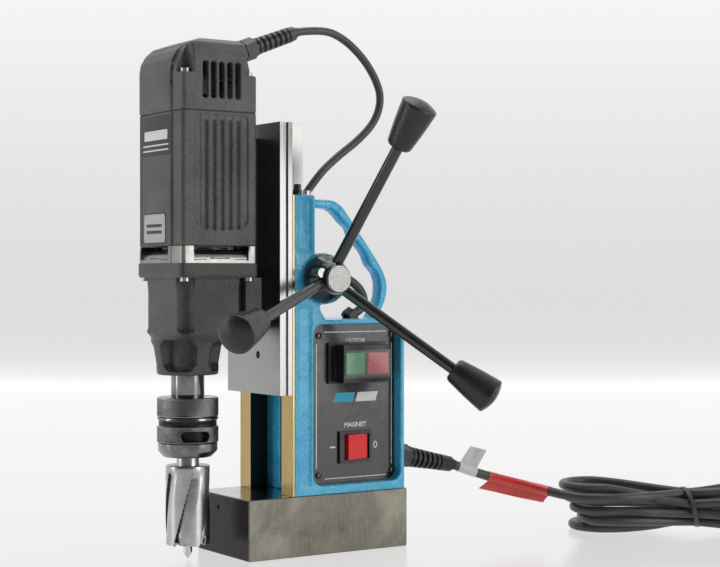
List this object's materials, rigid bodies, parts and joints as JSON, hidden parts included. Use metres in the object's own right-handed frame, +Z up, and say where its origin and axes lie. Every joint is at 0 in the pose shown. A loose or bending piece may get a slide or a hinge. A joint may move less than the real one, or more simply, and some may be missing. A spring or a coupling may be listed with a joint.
{
  "type": "magnetic drill press",
  "caption": "Portable drill press with a magnet base, cast frame, rack-fed motor carriage, geared spindle, annular cutter, spoke feed handle and mains lead in a hank.",
  "frame": {"origin": "centre of the magnet base's underside, on the surface it stands on", "axes": "+Z up along the spindle and the slide, +X towards the control panel and the feed handle, -Y towards the drilling side"},
  "size_m": [0.2654, 0.6253, 0.4559],
  "materials": {
    "blue_paint": "gloss hammered enamel",
    "magnet_steel": "dark ground steel, worn",
    "steel": "machined",
    "bright_steel": "polished",
    "cutter_steel": "ground",
    "brass_guides": "ground",
    "slide_aluminium": "satin",
    "ring_aluminium": "bright cast",
    "gearbox_metal": "satin textured",
    "motor_plastic": "fine texture",
    "black_steel": "black satin",
    "knob_plastic": "fine texture",
    "black_plastic": "satin moulded",
    "panel_grey": "gloss laminate",
    "start_green": "gloss moulded",
    "stop_red": "gloss moulded",
    "rocker_red": "gloss moulded",
    "clear_cover": "clear flexible film",
    "cord_rubber": "matte",
    "copper_coil": "potted winding",
    "core_steel": "laminated",
    "board_green": "solder mask"
  },
  "bodies": {
    "stand": {"magnet_base": "magnet_steel", "magnet_coil": "copper_coil", "base_bolts": "steel", "body_casting": "blue_paint", "carry_handle": "blue_paint", "guide_strip_left": "brass_guides", "guide_strip_right": "brass_guides", "gib_screws": "black_steel", "column_screw": "black_steel", "lead_ferrule": "steel", "feed_bushes": "brass_guides", "control_panel": "panel_grey", "panel_screws": "steel", "motor_switch_box": "black_plastic", "switch_cover": "clear_cover", "magnet_switch_frame": "black_plastic", "control_board": "board_green", "window_lead": "cord_rubber", "window_gland": "black_plastic", "mains_gland": "black_plastic", "mains_cord": "cord_rubber", "cord_hank": "cord_rubber", "cord_tie": "black_plastic", "mains_plug": "black_plastic"},
    "start_button": {"start_button": "start_green"},
    "stop_button": {"stop_button": "stop_red"},
    "magnet_rocker": {"magnet_rocker": "rocker_red"},
    "feed": {"feed_shaft": "steel", "feed_hub": "black_steel", "hub_cap": "bright_steel", "hub_plunger": "steel", "feed_arms": "black_steel", "arm_knobs": "knob_plastic"},
    "carriage": {"slide_plate": "slide_aluminium", "feed_rack": "steel", "motor_bracket": "gearbox_metal", "bracket_bolts": "steel", "gearbox_housing": "gearbox_metal", "motor_screws": "steel", "vent_ring": "ring_aluminium", "motor_housing": "motor_plastic", "motor_cap": "motor_plastic", "motor_stator": "core_steel", "brush_holders": "copper_coil", "bearings": "steel", "gland_nut": "black_plastic", "gland_sleeve": "cord_rubber", "motor_lead": "cord_rubber"},
    "rotor": {"armature": "core_steel", "cooling_fan": "black_plastic"},
    "intermediate": {"intermediate_gear": "steel"},
    "spindle": {"spindle": "bright_steel", "chuck_body": "black_steel", "annular_cutter": "cutter_steel", "pilot_spring": "steel"},
    "chuck_sleeve": {"chuck_sleeve": "black_steel"},
    "pilot": {"pilot_pin": "bright_steel"}
  },
  "joints": [
    {"name": "carriage_slide", "type": "slide", "parent": "stand", "child": "carriage", "axis": [0, 0, 1], "range_m": [-0.075, 0.05], "deforming": ["motor_lead"]},
    {"name": "feed_turn", "type": "hinge", "parent": "stand", "child": "feed", "pos_m": [0, -0.007, 0.235], "axis": [1, 0, 0], "range_deg": [-320, 480]},
    {"name": "rotor_turn", "type": "hinge", "parent": "carriage", "child": "rotor", "pos_m": [0, -0.104, 0.3], "axis": [0, 0, 1], "continuous": true},
    {"name": "intermediate_turn", "type": "hinge", "parent": "carriage", "child": "intermediate", "pos_m": [-0.01573, -0.09901, 0.22], "axis": [0, 0, 1], "continuous": true},
    {"name": "spindle_turn", "type": "hinge", "parent": "carriage", "child": "spindle", "pos_m": [0, -0.1133, 0.2], "axis": [0, 0, 1], "continuous": true},
    {"name": "chuck_release", "type": "hinge", "parent": "spindle", "child": "chuck_sleeve", "pos_m": [0, -0.1133, 0.11], "axis": [0, 0, 1], "range_deg": [0, 35], "stiffness_Nm_per_rad": 0.4, "springref_deg": -11.46},
    {"name": "pilot_slide", "type": "slide", "parent": "spindle", "child": "pilot", "axis": [0, 0, 1], "range_m": [0, 0.052], "stiffness_N_per_m": 300, "springref_m": -0.03, "deforming": ["pilot_spring"]},
    {"name": "start_press", "type": "slide", "parent": "stand", "child": "start_button", "axis": [-1, 0, 0], "range_m": [0, 0.003], "stiffness_N_per_m": 400, "springref_m": -0.004},
    {"name": "stop_press", "type": "slide", "parent": "stand", "child": "stop_button", "axis": [-1, 0, 0], "range_m": [0, 0.003], "stiffness_N_per_m": 400, "springref_m": -0.004},
    {"name": "magnet_rock", "type": "hinge", "parent": "stand", "child": "magnet_rocker", "pos_m": [0.0336, 0.0321, 0.089], "axis": [0, 0, -1], "range_deg": [0, 14]}
  ],
  "couplings": [
    {"joint": "feed_turn", "follows": "carriage_slide", "rad_per_m": -111.11},
    {"joint": "intermediate_turn", "follows": "rotor_turn", "ratio": -0.26923},
    {"joint": "spindle_turn", "follows": "rotor_turn", "ratio": 0.08284}
  ]
}
